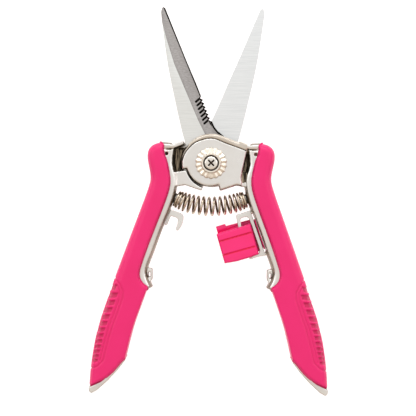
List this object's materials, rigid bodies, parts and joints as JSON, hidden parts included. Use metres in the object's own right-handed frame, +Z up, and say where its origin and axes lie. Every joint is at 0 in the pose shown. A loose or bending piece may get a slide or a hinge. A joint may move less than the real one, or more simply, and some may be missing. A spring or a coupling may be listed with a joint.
{
  "type": "floral snips",
  "caption": "hand snips with straight needle-nose blades, soft rubber-covered handles, a coil return spring and a sliding thumb lock",
  "frame": {"origin": "on the pivot axis, on the end face of the pivot screw, in the plane that the grips rest on", "axes": "+X to the right handle, +Y to the blade tips, +Z up out of the face with the screw head; the tool lies on its back, open at its full stop"},
  "size_m": [0.1126, 0.1827, 0.015],
  "materials": {
    "cast_metal": "satin, nickel-coloured cast handle frame",
    "grip_rubber": "matt pink soft grip",
    "blade_steel": "ground stainless steel",
    "lock_plastic": "pink moulded plastic",
    "spring_steel": "bright plated spring wire",
    "plated_steel": "bright nickel plate"
  },
  "bodies": {
    "front_handle": {"front_frame": "cast_metal", "front_grip": "grip_rubber", "front_blade": "blade_steel", "front_blade_pin_1": "plated_steel", "front_blade_pin_2": "plated_steel", "lock_rail": "cast_metal", "rail_dowel_1": "plated_steel", "rail_dowel_2": "plated_steel", "pivot_screw": "plated_steel", "pivot_rosette": "plated_steel", "pivot_sleeve": "plated_steel", "nut_washer": "plated_steel", "pivot_nut": "plated_steel", "return_spring": "spring_steel"},
    "rear_handle": {"rear_frame": "cast_metal", "rear_grip": "grip_rubber", "rear_blade": "blade_steel", "rear_blade_pin_1": "plated_steel", "rear_blade_pin_2": "plated_steel", "catch_hook": "cast_metal", "hook_dowel_1": "plated_steel"},
    "lock": {"lock_slider": "lock_plastic"}
  },
  "joints": [
    {"name": "handle_pivot", "type": "hinge", "parent": "front_handle", "child": "rear_handle", "pos_m": [0, 0, 0.0075], "axis": [0, 0, 1], "range_deg": [0, 37], "stiffness_Nm_per_rad": 0.4, "springref_deg": -8.59, "deforming": ["return_spring"]},
    {"name": "lock_slide", "type": "slide", "parent": "front_handle", "child": "lock", "axis": [-0.3305, 0.9438, 0], "range_m": [0, 0.0026]}
  ]
}
